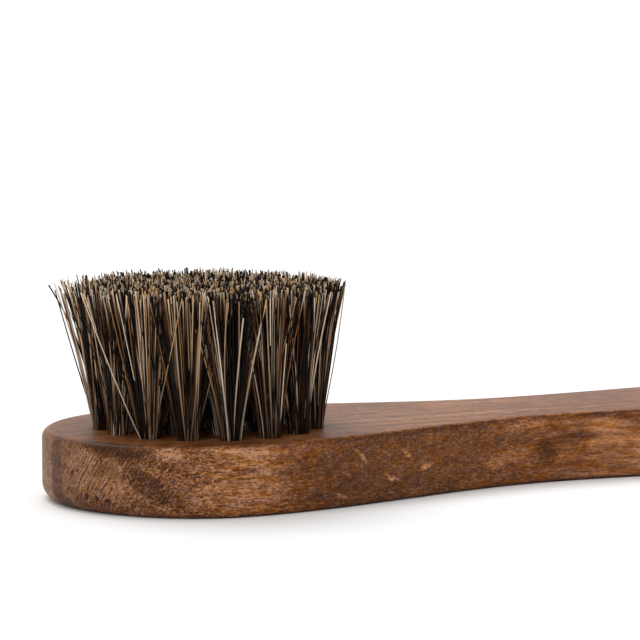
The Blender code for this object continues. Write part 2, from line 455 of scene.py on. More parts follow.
def drill_mesh():
    bm = bmesh.new()
    for centre in tuft_centres.values():
        rings = []
        for z in (BOARD_TOP + MM, HOLE_FLOOR):
            ring = []
            for i in range(HOLE_SIDES):
                angle = 2 * math.pi * i / HOLE_SIDES
                x = centre.x + HOLE_RADIUS * math.cos(angle)
                y = centre.y + HOLE_RADIUS * math.sin(angle)
                ring.append(bm.verts.new((x, y, z)))
            rings.append(ring)
        cone_tip = HOLE_FLOOR - HOLE_RADIUS / math.tan(DRILL_HALF_ANGLE)
        tip = bm.verts.new((centre.x, centre.y, cone_tip))
        bm.faces.new(rings[0])
        for i in range(HOLE_SIDES):
            j = (i + 1) % HOLE_SIDES
            bm.faces.new((rings[0][i], rings[0][j], rings[1][j], rings[1][i]))
            bm.faces.new((rings[1][i], rings[1][j], tip))
    return closed_mesh("drill", bm)


drill = add_object("drill", drill_mesh())
cut = paddle.modifiers.new("holes", "BOOLEAN")
cut.operation = "DIFFERENCE"
cut.solver = "EXACT"
cut.object = drill
bake_modifiers(paddle)
bpy.data.objects.remove(drill, do_unlink=True)
paddle.data.shade_smooth()
paddle.data.set_sharp_from_angle(angle=WOOD_CREASE)
print("drilled paddle faces:", len(paddle.data.polygons))

# %% [markdown]
# ## Stained wood
#
# The wood looks like close-grained beech with a brown stain and a thin coat of wax. Nearly all of that
# look is in small things: fine ripples and dark pores along the grain, growth rings that bow where the round
# tip cuts through them, patches that drank more stain or less, and marks of sanding and handling at
# the tip. The grain lies in the wood and not on it, so it is noise in Object coordinates, squeezed
# along X. What belongs to the surface, such as a patch or a scratch, is placed on the side map: how
# far it is from the tip, measured along the rim, and how high it is on the board. From here on, `g` is
# always the graph of the material that is being written. The ranges given to `beyond` and `between`
# are in mm.

# %% Find every place in the wood
wood, g = new_material("stained beech")
wood_place = g.node("ShaderNodeTexCoord")["Object"]
wood_parts = g.parts(wood_place)
facing = g.parts(g.node("ShaderNodeNewGeometry")["Normal"])
from_tip = g.parts(g.node("ShaderNodeUVMap", uv_map=SIDE_MAP)[0])["X"]
up = wood_parts["Z"]
below_top = BOARD_TOP - up
on_side = 1 - abs(facing["Z"]).step(0.55, 0.9)
on_top = 1 - on_side
on_front = from_tip > 0


def stretched(along, shift=0.0):
    """The place in the wood, squeezed so that a noise on it runs along the grain."""
    sockets = {"Vector": wood_place, "Location": (shift, shift, shift), "Scale": (along, 1.0, 1.0)}
    return g.node("ShaderNodeMapping", sockets, vector_type="POINT")[0]


def beyond(value, start, full):
    """0 up to start and 1 from full on. Both are in mm."""
    return value.step(start * MM, full * MM)


def between(value, start, full, fading, end):
    """0 up to start, 1 from full to fading and 0 again past end. All are in mm."""
    return beyond(value, start, full) * (1 - beyond(value, fading, end))


def weighed(layers):
    """The sum of named layers, each times its amount."""
    return sum(layer * amount for layer, amount in layers.values())


print("places: in the wood, and on its side")

# %% Grow the rings
PITH_Y = 8.0 * MM
PITH_Z = -24.0 * MM
RING_WIDTH = 2.7 * MM
RING_WANDER = 7.0 * MM

across_pith = g.vector(wood_parts["Y"] - PITH_Y, up - PITH_Z)
from_pith = g.node("ShaderNodeVectorMath", {0: across_pith}, operation="LENGTH")["Value"]
wander = g.noise(stretched(0.35, 0.9), 55.0, 2.0, 0.5)
ring_share = ((from_pith + wander * RING_WANDER) / RING_WIDTH).math("FRACT")
late_wood = ring_share.step(0.35, 0.92) * (1 - ring_share.step(0.94, 1.0))
print("rings are", RING_WIDTH / MM, "mm wide")

# %% Lay the fibres, ripples and pores
clouds = g.noise(stretched(0.5), 70.0, 3.0, 0.5, 0.5)
broad = g.noise(stretched(0.16, 0.2), 850.0, 4.0, 0.65, 0.5)
streaks = g.noise(stretched(0.05, 0.8), 380.0, 4.0, 0.65, 0.3)
ripples = g.noise(stretched(0.13, 0.4), 2900.0, 3.0, 0.65, 0.7)
speckle = g.noise(stretched(0.4, 0.1), 3800.0, 3.0, 0.65, 0.6)
pores = g.noise(stretched(0.10, 0.6), 3300.0, 2.0, 0.5).step(0.60, 0.72)
small_flecks = g.noise(stretched(0.30, 1.3), 1250.0, 3.0, 0.6, 1.4).step(0.60, 0.74)
fleck_fields = g.noise(stretched(0.6, 2.1), 130.0, 2.0, 0.5).step(0.42, 0.62)
flecks = small_flecks * fleck_fields
print("grain layers ready")

# %% [markdown]
# ## Stain, scratches, wear and painted highlights
#
# Each patch of the stain is an oval on the front side: its distance from the tip and its height on
# the board, its half length and half height, its tilt in degrees, and how much darker (or, below 0,
# paler) it makes the wood. Its rim is ragged, because stain follows the fibres. Two pale patches by
# the upper rim are wear with a painted highlight. Dents are ovals too, and a scratch is a line
# between two ends. Along the upper rim, wear and a painted pale line add more highlights.

# %% Place the patches of the stain, and two of wear with a painted highlight, on the front side
PATCHES_OF_STAIN_AND_HIGHLIGHT = {
    "dark blotch": (22.4, 5.5, 4.8, 1.9, -26, 0.32),
    "dark line below it": (20.0, 2.3, 6.0, 0.7, 3, 0.12),
    "pale streak above it": (21.4, 8.0, 2.4, 0.8, -15, -0.05),
    "pale streak left of it": (14.8, 5.0, 3.0, 1.0, -20, -0.14),
    "dark band above it": (16.0, 11.3, 6.5, 1.6, -4, 0.40),
    "dark end of the band": (20.0, 9.4, 4.0, 1.5, -20, 0.12),
    "dark rim of the tip": (10.0, 11.9, 7.0, 1.3, 0, 0.16),
    "faint band": (14.5, 7.4, 3.0, 1.0, -15, 0.08),
    "dark foot of the tip": (10.0, 1.2, 9.0, 1.4, 0, 0.16),
    "dark foot at the left": (3.0, 1.8, 3.0, 1.8, 0, 0.16),
    "pale heel of the blotch": (31.0, 4.6, 4.0, 1.4, 0, -0.08),
    "dark strip at the very tip": (1.7, 6.0, 2.2, 9.0, 0, 0.22),
    "pale cheek": (9.2, 7.8, 3.4, 4.2, 0, -0.13),
    "pale belly": (38.0, 5.8, 9.0, 6.0, 0, -0.20),
    "dark waist": (76.0, 6.0, 36.0, 8.0, 0, 0.13),
    "fleck at the waist": (61.5, 8.5, 2.1, 0.38, -38, -0.32),
    "fleck low down": (68.6, 4.2, 2.2, 0.42, -25, -0.36),
    "fleck above it": (71.8, 7.7, 1.6, 0.42, -35, -0.34),
    "fleck at the foot": (57.2, 1.8, 2.0, 0.32, -20, -0.30),
    "forked fleck": (76.2, 5.4, 1.7, 0.6, 12, -0.38),
    "golden streaks": (94.3, 4.8, 6.0, 1.1, 9, -0.26),
    "dark spot on the neck": (103.0, 5.6, 1.9, 2.8, 20, 0.22),
    "dark spot beside it": (109.5, 7.2, 2.4, 1.8, 0, 0.16),
    "pale rim of the neck": (97.0, 10.9, 6.0, 1.3, 0, -0.14),
    "pale rim of the grip": (110.0, 10.9, 13.0, 1.2, 0, -0.15),
    "golden grip": (128.0, 6.0, 18.0, 6.0, 0, -0.22),
    # These two paler patches by the upper rim are wear and a painted highlight.
    "painted highlight and wear beside the band": (27.2, 10.4, 3.2, 0.8, 0, -0.10),
    "painted highlight and wear over the belly": (40.5, 9.6, 4.2, 1.4, 0, -0.13),
    "paler neck": (101.0, 7.0, 12.0, 6.0, 0, -0.06),
}
PATCH_RAGGEDNESS = 3.2
PATCH_RIM = (0.15, 1.5)

ragged = g.noise(wood_place, 260.0, 4.0, 0.65) - 0.5
ragged_up = g.noise(stretched(1.0, 3.0), 260.0, 4.0, 0.65) - 0.5


def oval(distance, height, half_length, half_height, tilt=0, raggedness=PATCH_RAGGEDNESS, rim=PATCH_RIM):
    """1 in the middle of an oval on the side, falling to 0 over its ragged rim. Sizes are in mm.

    The rim says where the fall begins and ends, squared: 0 is the middle and 1 is the outline.
    """
    cosine = math.cos(math.radians(tilt))
    sine = math.sin(math.radians(tilt))
    past = from_tip - distance * MM + ragged * (raggedness * MM)
    above = up - height * MM + ragged_up * (raggedness * MM)
    lengthwise = (past * cosine + above * sine) / (half_length * MM)
    crosswise = (above * cosine - past * sine) / (half_height * MM)
    return 1 - (lengthwise * lengthwise + crosswise * crosswise).step(*rim)


stain_and_rim_highlight = sum(oval(*shape) * darker for *shape, darker in PATCHES_OF_STAIN_AND_HIGHLIGHT.values()) * on_front
print("patches of stain and painted highlight:", len(PATCHES_OF_STAIN_AND_HIGHLIGHT))

# %% Scratch the tip
SCRATCHES = {
    "longest": ((12.0, 9.9), (8.2, 4.3)),
    "beside its top": ((13.2, 9.4), (11.2, 6.8)),
    "low on the right": ((15.1, 6.0), (13.3, 3.8)),
    "below the longest": ((11.1, 5.1), (10.4, 3.7)),
    "high at the left": ((4.2, 10.4), (3.5, 9.2)),
    "under it": ((4.7, 9.0), (4.3, 7.9)),
    "low at the left": ((3.0, 3.9), (1.3, 2.5)),
}
SCRATCH_WIDTH = 0.30 * MM
SCRATCH_RAGGEDNESS = 0.5 * MM
SCRATCH_FADE = 0.7


def scratch(start, end):
    """The groove of a scratch and the two edges beside it. Its ends are in mm."""
    across, rise = end[0] - start[0], end[1] - start[1]
    length = math.hypot(across, rise)
    past = from_tip - start[0] * MM
    above = up - start[1] * MM
    run = (past * across + above * rise) / length
    within = between(run, 0, SCRATCH_FADE, length - SCRATCH_FADE, length)
    beside = abs((above * across - past * rise) / length + ragged * SCRATCH_RAGGEDNESS)
    beside_edge = abs(beside - SCRATCH_WIDTH)
    groove = within * (1 - beside.step(0.2 * SCRATCH_WIDTH, 0.6 * SCRATCH_WIDTH))
    edges = within * (1 - beside_edge.step(0.1 * SCRATCH_WIDTH, 0.6 * SCRATCH_WIDTH))
    return groove, edges


scratch_pairs = [scratch(*ends) for ends in SCRATCHES.values()]
scratches = sum(groove for groove, edges in scratch_pairs) * on_front
raised_edges = sum(edges for groove, edges in scratch_pairs) * on_front
print("scratches at the tip:", len(SCRATCHES))

# %% Dent the tip
DENTS = {
    "first": (10.3, 3.0, 0.46, 0.56),
    "second": (12.6, 2.8, 0.38, 0.44),
    "third": (14.8, 2.6, 0.62, 0.34),
    "small": (5.7, 3.9, 0.24, 0.44),
    "high": (6.9, 6.6, 0.26, 0.46),
    "beside it": (8.2, 7.1, 0.20, 0.34),
}
DENT_RAGGEDNESS = 0.9
DENT_RIM = (0.5, 1.4)

dents = sum(
    oval(*sizes, raggedness=DENT_RAGGEDNESS, rim=DENT_RIM) for sizes in DENTS.values()
) * on_front
print("dents at the tip:", len(DENTS))

# %% Sand the tip at a slant
SANDING_SLOPE = math.radians(55)
SANDING_SPACING = 0.20 * MM
SANDING_SQUEEZE = 0.07
SANDED_PLACE = (16.0, 6.0, 14.0, 8.0)

along_sanding = from_tip * math.cos(SANDING_SLOPE) + up * math.sin(SANDING_SLOPE)
over_sanding = up * math.cos(SANDING_SLOPE) - from_tip * math.sin(SANDING_SLOPE)
sanding_place = g.vector(along_sanding * SANDING_SQUEEZE, over_sanding)
sanding = g.noise(sanding_place, 1.0 / SANDING_SPACING, 3.0, 0.6, 0.3) - 0.5
sanding = sanding * oval(*SANDED_PLACE) * on_front
print("sanding marks", SANDING_SPACING / MM, "mm apart")

# %% Wear the upper rim and paint its highlights
WORN_AND_LIT_STRETCH = (22, 26, 42, 50)
WORN_AND_LIT_DEPTHS = (0.2, 0.6, 1.2, 2.3)
EDGE_HIGHLIGHT_DEPTHS = (0.002, 0.02, 0.10, 0.35)
EDGE_HIGHLIGHT_STOPS = (7, 10)
EDGE_HIGHLIGHT_RESTARTS = (52, 60)
STAINED_LINE_DEPTHS = (0.15, 0.35, 0.7, 1.4)
STAINED_LINE_STARTS = (48, 60)

patchy = 0.3 + broad.step(0.30, 0.52) * 0.7
# Wear along the upper rim, painted paler as a highlight as well.
rim_wear_and_highlight = between(below_top, *WORN_AND_LIT_DEPTHS) * between(from_tip, *WORN_AND_LIT_STRETCH) * patchy
# Painted highlight: a pale line along the upper edge, near the tip and again past the head.
edge_highlight_share = 1.0 - beyond(from_tip, *EDGE_HIGHLIGHT_STOPS) + beyond(from_tip, *EDGE_HIGHLIGHT_RESTARTS) * 0.8
painted_edge_highlight = between(below_top, *EDGE_HIGHLIGHT_DEPTHS) * edge_highlight_share
past_head = beyond(from_tip, *STAINED_LINE_STARTS) * on_front
stained_line = between(below_top, *STAINED_LINE_DEPTHS) * past_head
print("worn from", WORN_AND_LIT_STRETCH[0], "to", WORN_AND_LIT_STRETCH[-1], "mm along the rim")

# %% [markdown]
# ## Tone, then colour
#
# All layers are added to one tone between 0 and 1, and a ramp turns that tone into colour. So every
# layer needs just one number, which says how much paler (or, below 0, darker) it makes the wood.

# %% Share out the grain
HANDLED_UNTIL = (14, 42)
SANDED_UNTIL = (12, 26)
CALM_FROM = (30, 54)
STREAKY_FROM = (90, 120)

handled = on_side * (1 - beyond(abs(from_tip), *HANDLED_UNTIL))
sanded = on_front * (1 - beyond(from_tip, *SANDED_UNTIL))
calm = beyond(abs(from_tip), *CALM_FROM)
streaky = on_side * beyond(abs(from_tip), *STREAKY_FROM)
grain_share = 0.75 + on_side * (0.25 - calm * 0.22) - streaky * 0.30
fine_grain = weighed({
    "ripples": (ripples - 0.5, 1.8 - calm * 0.5 - sanded * 0.5),
    "broad fibres": (broad - 0.5, 0.45 - calm * 0.35),
    "speckle": (speckle - 0.5, 1.6 - sanded * 0.6),
})
print("strong on the head, calm past it, streaky on the grip")

# %% Add up the tone of the wood
MIDDLE_TONE = 0.505
SHADED_FOOT = (0.15, 0.75)
LIT_PAST_TUFTS = (18, 26)
LIGHT_FADES_PAST_SHOULDER = (36, 60)

tone = MIDDLE_TONE + weighed({
    "fine grain": (fine_grain, grain_share),
    "clouds": (clouds - 0.5, 0.40),
    "streaks": (streaks - 0.5, 0.24 + on_top * 0.35 + streaky * 0.90),
    "broad streaks of the grip": (broad - 0.5, streaky),
    "late wood of the rings": (late_wood, -0.07),
    # Stain, and two pale patches of wear with a painted highlight.
    "patches of stain and painted highlight": (stain_and_rim_highlight, -1.0),
    "pores": (pores, -0.12),
    # Painted shade: the side darker just above the floor.
    "painted shade at the foot of the side": (on_side * (1 - beyond(up, *SHADED_FOOT)), -0.27),
    "scratches": (scratches, -0.40),
    "their raised edges": (raised_edges, 0.14),
    "dents": (dents, -0.8),
    "sanding marks": (sanding, 1.55),
    # Wear and a painted highlight along the upper rim.
    "worn rim and painted highlight": (rim_wear_and_highlight, 0.23),
    # Painted highlight on the rounded upper edge.
    "painted highlight on the edge": (painted_edge_highlight, 0.14),
    "stained line below it": (stained_line, -0.13),
    "whole top": (on_top, -0.025),
    # Painted light: the top is paler past the tufts' shade, and a little less so past the shoulder.
    "painted light on the top past the tufts": (on_top * beyond(wood_parts["X"], *LIT_PAST_TUFTS), 0.11),
    "painted light fading past the shoulder": (on_top * beyond(wood_parts["X"], *LIGHT_FADES_PAST_SHOULDER), -0.07),
})
print("wood tone from", len(wood.node_tree.nodes), "nodes")

# %% Turn the tone into colour
WOOD_COLOURS = [
    (0.05, (0.035, 0.010, 0.002)),
    (0.30, (0.096, 0.031, 0.008)),
    (0.50, (0.178, 0.062, 0.018)),
    (0.70, (0.322, 0.127, 0.048)),
    (0.95, (0.548, 0.268, 0.122)),
]
FLECK_COLOUR = (0.46, 0.20, 0.07)
HANDLED_COLOUR = (0.20, 0.16, 0.12)
FOOT_SHADOW_COLOUR = (0.012, 0.007, 0.005)
FOOT_SHADOW_HEIGHTS = (0.10, 0.42)

colour = g.ramp(tone, WOOD_COLOURS)
colour = g.mix(flecks * on_side * 0.6, colour, FLECK_COLOUR)
colour = g.mix(handled * tone.step(0.30, 0.60) * 0.25, colour, HANDLED_COLOUR)
warmth = g.noise(stretched(0.25, 1.7), 1100.0, 3.0, 0.6) - 0.5
tinted = {"Color": colour, "Hue": 0.5 + warmth * 0.012, "Saturation": 1.0 + warmth * 0.7}
colour = g.node("ShaderNodeHueSaturation", tinted)["Color"]

# A painted contact shadow: a dark line along the foot of the side. The flat faces aren't on the side
# map and read 0 there, so this leaves the underside without it.
on_side_map = abs(from_tip) > 0.1 * MM
painted_foot_shadow = on_side_map * (1 - beyond(up, *FOOT_SHADOW_HEIGHTS))
colour = g.mix(painted_foot_shadow * 0.75, colour, FOOT_SHADOW_COLOUR)
print("stops in the ramp of the wood:", len(WOOD_COLOURS))

# %% Give it relief and a satin finish
BUMP_HEIGHT = 0.12 * MM

relief = weighed({
    "ripples": (ripples, 0.45),
    "broad fibres": (broad, 0.25),
    "speckle": (speckle, 0.3),
    "pores": (pores, -0.25),
    "scratches": (scratches, -0.8),
    "dents": (dents, -2.0),
})
bump = g.node("ShaderNodeBump", {"Strength": 0.5, "Distance": BUMP_HEIGHT, "Height": relief})
g.surface({
    "Base Color": colour,
    "Roughness": 0.36 + speckle * 0.24 - rim_wear_and_highlight * 0.08,
    "Specular IOR Level": 0.12,
    "Coat Weight": 0.03 + on_top * 0.05,
    "Coat Roughness": 0.34,
    "Normal": bump[0],
})
paddle.data.materials.clear()
paddle.data.materials.append(wood)
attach(paddle, "root")
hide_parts("handle")
print("wood material nodes:", len(wood.node_tree.nodes))

# %% [markdown]
# ## Hair that folds round its staple
#
# A tuft is a bundle of hairs laid across a staple and pushed into its hole, so every hair is a U with
# two ends in the air. Geometry Nodes can make one U-shaped curve and copy it for every hair. Each
# copy then gets its own place in the bundle, its own lean and bend, and its own length, from random
# numbers with a fixed seed. One node group makes all tufts: its inputs say where the tuft stands,
# which seed it has, and every size below. The four tufts at the tip of the board are worn: they have
# fewer hairs, and these lean more. No batch of hair is mixed evenly either, so some tufts on the front
# side have a darkness of their own.

# %% Name the sizes of a tuft
PALETTE_STRIPS = 64
TUFT_SIZES = {
    "Bent hairs": 122,
    "Bundle radius": 1.75 * MM,
    "Hair radius": 0.111 * MM,
    "Hair length": HAIR_LENGTH - 0.15 * MM,
    "Tuft radius at top": 5.4 * MM,
    "Spread at top": 1.05,
    "Top radius": 23.7 * MM,
    "Combed over": -1.2 * MM,
    "Crown depth": 5.9 * MM,
    "Fold inner": 0.70 * MM,
    "Fold outer": 1.25 * MM,
    "Fold half width": 0.55 * MM,
    "Unevenness": 0.85 * MM,
    "Lean": 0.8 * MM,
    "Bend": 0.42 * MM,
    "Flare": 1.22,
    "Darkness": 1.22,
}
WORN_TUFTS = ("tuft_outer_06", "tuft_outer_07", "tuft_outer_08", "tuft_outer_09")
WORN_SIZES = {
    "Bent hairs": 92,
    "Tuft radius at top": 4.1 * MM,
    "Spread at top": 0.95,
    "Top radius": 24.0 * MM,
    "Flare": 1.45,
    "Lean": 1.2 * MM,
    "Darkness": 0.95,
}
TUFT_DARKNESS = {
    "tuft_outer_10": 1.45,
    "tuft_middle_06": 1.05,
    "tuft_middle_08": 1.6,
    "tuft_outer_13": 2.0,
    "tuft_outer_14": 1.4,
    "tuft_outer_15": 1.7,
}
FOLD_POINTS = 2
AIR_POINTS = 7
SIDE_POINTS = FOLD_POINTS + 1 + AIR_POINTS
CURVE_POINTS = 2 * SIDE_POINTS + 1
print("points on one bent hair:", CURVE_POINTS)

# %% Build the node group for one tuft
OTHER_INPUTS = {
    "Seed": "NodeSocketInt",
    "Centre X": "NodeSocketFloat",
    "Centre Y": "NodeSocketFloat",
    "Material": "NodeSocketMaterial",
}

tree = bpy.data.node_groups.new("hair tuft", "GeometryNodeTree")
interface = tree.interface
interface.new_socket("Geometry", in_out="INPUT", socket_type="NodeSocketGeometry")
for key, value in TUFT_SIZES.items():
    kind = "NodeSocketInt" if isinstance(value, int) else "NodeSocketFloat"
    interface.new_socket(key, in_out="INPUT", socket_type=kind).default_value = value
for key, kind in OTHER_INPUTS.items():
    interface.new_socket(key, in_out="INPUT", socket_type=kind)
interface.new_socket("Geometry", in_out="OUTPUT", socket_type="NodeSocketGeometry")

n = Graph(tree)
given = n.node("NodeGroupInput")
line = n.node("GeometryNodeCurvePrimitiveLine")[0]
line = n.node("GeometryNodeResampleCurve", {"Curve": line, "Count": CURVE_POINTS})[0]
spots = n.node("GeometryNodePoints", {"Count": given["Bent hairs"]})[0]
copies = n.node("GeometryNodeInstanceOnPoints", {"Points": spots, "Instance": line})[0]
hairs = n.node("GeometryNodeRealizeInstances", {0: copies})[0]
print("group inputs:", len(given.made.outputs))

# %% Number the hairs and draw random numbers for them
hair_number = n.node("GeometryNodeCurveOfPoint")["Curve Index"]
step_along = n.node("GeometryNodeCurveOfPoint")["Index in Curve"]
from_fold = abs(step_along - SIDE_POINTS)
second_end = step_along > SIDE_POINTS
side = second_end * 2 - 1
end_number = hair_number * 2 + second_end


def random(low, high, salt, number=hair_number):
    """A random number for each hair, each end of it or each tuft, the same on every run."""
    wanted = {"Min": low, "Max": high, "ID": number, "Seed": given["Seed"] * 50 + salt}
    made = n.node("FunctionNodeRandomValue", data_type="FLOAT").made
    for socket in made.inputs:
        if socket.enabled and socket.name in wanted:
            value = wanted[socket.name]
            if isinstance(value, Signal):
                tree.links.new(value.socket, socket)
            else:
                socket.default_value = value
    return Signal(n, next(output for output in made.outputs if output.enabled))


def random_lean(first_salt, second_salt):
    """Two draws added for each end, from -2 to 2, so that most ends lean little."""
    return random(-1, 1, first_salt, end_number) + random(-1, 1, second_salt, end_number)


print("two ends to each hair")

# %% Give each hair its place in the bundle
GOLDEN_ANGLE = math.pi * (3 - math.sqrt(5))

bundle_share = (hair_number + random(0.1, 0.9, 1)) / given["Bent hairs"]
bundle_reach = bundle_share.math("SQRT") * given["Bundle radius"]
bundle_angle = (hair_number * (GOLDEN_ANGLE / 2)).math("MODULO", math.pi) - math.pi / 2
mouth_x = bundle_reach * bundle_angle.math("COSINE")
mouth_y = bundle_reach * bundle_angle.math("SINE")
print("hairs placed by a spiral over half a disc, then mirrored by the fold")

# %% Fold it round the crown of the staple
fold_turn = (1 - from_fold / FOLD_POINTS).clamp() * (math.pi / 2)
out_of_fold = (from_fold - FOLD_POINTS).clamp()
air_share = ((from_fold - FOLD_POINTS - 1) / AIR_POINTS).clamp()

fold_depth = given["Fold outer"] - given["Fold inner"]
fold_reach = given["Fold inner"] + mouth_x / given["Bundle radius"] * fold_depth
hole_x = fold_reach * fold_turn.math("COSINE")
hole_y = mouth_y * given["Fold half width"] / given["Bundle radius"]
hole_z = fold_reach * fold_turn.math("SINE") * -1 - given["Crown depth"]
print("folded round the crown")

# %% Choose where each tip ends, inside the trimmed rim
LOOSE_RARITY = 4
LOOSE_LEAN = 6
LOOSE_REACH = 1.3 * MM
RIM_UNEVENNESS = 1.2 * MM
RIM_SOFTNESS = 1.2 * MM

looseness = random(0, 1, 5, end_number) ** LOOSE_RARITY
lean_scale = given["Lean"] * (1 + looseness * LOOSE_LEAN)
lean_x = random_lean(11, 12) * lean_scale
lean_y = random_lean(13, 14) * lean_scale
tuft_lean_x = random(-1, 1, 15, given["Seed"]) * given["Lean"]
tuft_lean_y = random(-1, 1, 16, given["Seed"]) * given["Lean"]

widen = given["Tuft radius at top"] / given["Bundle radius"]
wide_x = given["Centre X"] * given["Spread at top"] + side * mouth_x * widen + lean_x + tuft_lean_x
wide_y = given["Centre Y"] * given["Spread at top"] + mouth_y * widen + lean_y + tuft_lean_y
tip_reach = (wide_x * wide_x + wide_y * wide_y).math("SQRT")
rim_reach = given["Top radius"] + looseness * LOOSE_REACH - random(0, 1, 34, end_number) * RIM_UNEVENNESS
keep = tip_reach.math("SMOOTH_MIN", rim_reach, RIM_SOFTNESS) / tip_reach
tip_x = wide_x * keep + given["Combed over"]
tip_y = wide_y * keep
print("tips chosen")

# %% Cut it to length, and choose its flare and its bend
SHORT_CHANCE = 0.045
SHORT_BY = (0.05, 0.38)
LATER_FLARE_PER_METRE = 18

short = (random(0, 1, 31, end_number) > 1 - SHORT_CHANCE) * random(*SHORT_BY, 32, end_number)
trim = random(-1, 1, 33, end_number) * given["Unevenness"]
own_length = (given["Hair length"] + trim) * (1 - short)

# The tufts on the handle's side stand straight for longer before they flare.
flare_power = given["Flare"] + given["Centre X"] * LATER_FLARE_PER_METRE
flare = (air_share * (1 - short)) ** flare_power

bend_phase = random(0, 2 * math.pi, 21, end_number)
bend_size = given["Bend"] * (random(-1, 1, 22, end_number) + looseness)
bend_wave = (air_share * math.pi).math("SINE") * bend_size
print("short ends:", round(100 * SHORT_CHANCE, 1), "in a hundred")

# %% Run each hair from its fold through the mouth to its tip
THIN_TO_THICK = (0.70, 1.34)
TIP_TAPER = 0.12

root_x = given["Centre X"] + side * (hole_x + (mouth_x - hole_x) * out_of_fold)
root_y = given["Centre Y"] + hole_y + (mouth_y - hole_y) * out_of_fold
mouth_spot_x = given["Centre X"] + side * mouth_x
mouth_spot_y = given["Centre Y"] + mouth_y
hair_x = root_x + (tip_x - mouth_spot_x) * flare + bend_wave * bend_phase.math("COSINE")
hair_y = root_y + (tip_y - mouth_spot_y) * flare + bend_wave * bend_phase.math("SINE")
hair_z = hole_z * (1 - out_of_fold) + air_share * own_length
hair_spot = n.vector(hair_x, hair_y, hair_z + BOARD_TOP)
hairs = n.node("GeometryNodeSetPosition", {"Geometry": hairs, "Position": hair_spot})[0]
thickness = given["Hair radius"] * random(*THIN_TO_THICK, 41) * (1 - air_share ** 3 * TIP_TAPER)
print("hairs shaped")

# %% Keep the way along each hair and the strip of its colour
SHADE_VARIETY = 0.14

along = n.node("GeometryNodeCaptureAttribute", {0: hairs}, domain="POINT")
along.made.capture_items.new("FLOAT", "along")
along.made.capture_items.new("FLOAT", "strip")
tree.links.new((from_fold / SIDE_POINTS).socket, along.made.inputs[1])
own_darkness = given["Darkness"] + random(-SHADE_VARIETY, SHADE_VARIETY, 52, given["Seed"])
strip_number = (random(0, 1, 51) ** own_darkness * (PALETTE_STRIPS - 0.01)).math("FLOOR")
tree.links.new(strip_number.socket, along.made.inputs[2])
print("colour strips:", PALETTE_STRIPS)

# %% Turn the curves into hair with a map of its own
HAIR_SIDES = 5
STRIP_MARGIN = 0.2
END_MARGIN = 0.01

ring = n.node("GeometryNodeCurvePrimitiveCircle", {"Resolution": HAIR_SIDES, "Radius": 1.0})[0]
around = n.node("GeometryNodeCaptureAttribute", {0: ring}, domain="POINT")
around.made.capture_items.new("FLOAT", "around")
around_share = n.node("GeometryNodeSplineParameter")["Factor"]
fold_back = 1 - abs(around_share * 2 - 1)
tree.links.new(fold_back.socket, around.made.inputs[1])

tube = {"Curve": along[0], "Profile Curve": around[0], "Scale": thickness, "Fill Caps": True}
tubes = n.node("GeometryNodeCurveToMesh", tube)[0]
map_x = (along[2] + STRIP_MARGIN + around[1] * (1 - 2 * STRIP_MARGIN)) / PALETTE_STRIPS
map_spot = n.vector(map_x, along[1] * (1 - 2 * END_MARGIN) + END_MARGIN)
stored = {"Geometry": tubes, "Name": "OFBake"}
store = n.node("GeometryNodeStoreNamedAttribute", stored, data_type="FLOAT2", domain="CORNER")
value_socket = next(s for s in store.made.inputs if s.enabled and s.name == "Value")
tree.links.new(map_spot.socket, value_socket)
smooth = n.node("GeometryNodeSetShadeSmooth", {0: store[0]})[0]
real = n.node("GeometryNodeRealizeInstances", {0: smooth})[0]
last = n.node("GeometryNodeSetMaterial", {"Geometry": real, "Material": given["Material"]})[0]
n.node("NodeGroupOutput", {0: last})
print("nodes in the tuft group:", len(tree.nodes))

# %% [markdown]
# ## The colours of the hair
#
# The tufts are a mix of black, dark brown, rust, tan and grey-beige hair. Each bent hair was given one
# strip of the map above, and the material turns the strip's number into the hair's own colour. The
# strips run from black to ivory, so a tuft is made darker or paler by drawing more of its hairs from
# one side. On top of that, some hairs are rustier, more golden or greyer than their neighbours, painted
# shade darkens the lower part of a hair, old polish soils it in spots, and its cut end is bleached pale.

# %% Find each hair's strip and its own random numbers
hair, g = new_material("mixed stiff hair")
map_parts = g.parts(g.node("ShaderNodeUVMap", uv_map="OFBake")[0])
strip = (map_parts["X"] * PALETTE_STRIPS).math("FLOOR")
way_along = map_parts["Y"]
pick = (strip + 0.5) / PALETTE_STRIPS
own_numbers = g.white_noise(strip)
own_parts = g.node("ShaderNodeSeparateColor", {0: own_numbers["Color"]})
towards_board_tip = g.parts(g.node("ShaderNodeTexCoord")["Object"])["X"] * -1
is_brown = pick.step(0.48, 0.58)
is_pale = pick.step(0.60, 0.75)
print("from black at strip 0 to ivory at strip", PALETTE_STRIPS - 1)

# %% Colour the hair
HAIR_COLOURS = [
    (0.00, (0.002, 0.002, 0.002)),
    (0.44, (0.006, 0.004, 0.003)),
    (0.50, (0.030, 0.012, 0.005)),
    (0.58, (0.190, 0.062, 0.016)),
    (0.67, (0.400, 0.188, 0.067)),
    (0.78, (0.660, 0.455, 0.260)),
    (1.00, (0.940, 0.820, 0.660)),
]
END_COLOURS = [
    (0.00, (0.450, 0.165, 0.048)),
    (0.25, (0.860, 0.510, 0.220)),
    (0.52, (0.980, 0.765, 0.520)),
    (0.95, (1.000, 0.945, 0.850)),
]
FADING = (0, 20)

rusty = own_parts["Green"].step(0.50, 0.90) * pick.step(0.45, 0.55)
golden = (1 - own_parts["Blue"]).step(0.55, 0.85) * is_pale
greyed = own_parts["Blue"].step(0.50, 0.85) * is_pale
faded = beyond(towards_board_tip, *FADING) * is_brown

grime = g.noise(g.vector(strip * 3.7, way_along * 3.0), 1.0, 2.0).step(0.35, 0.65)
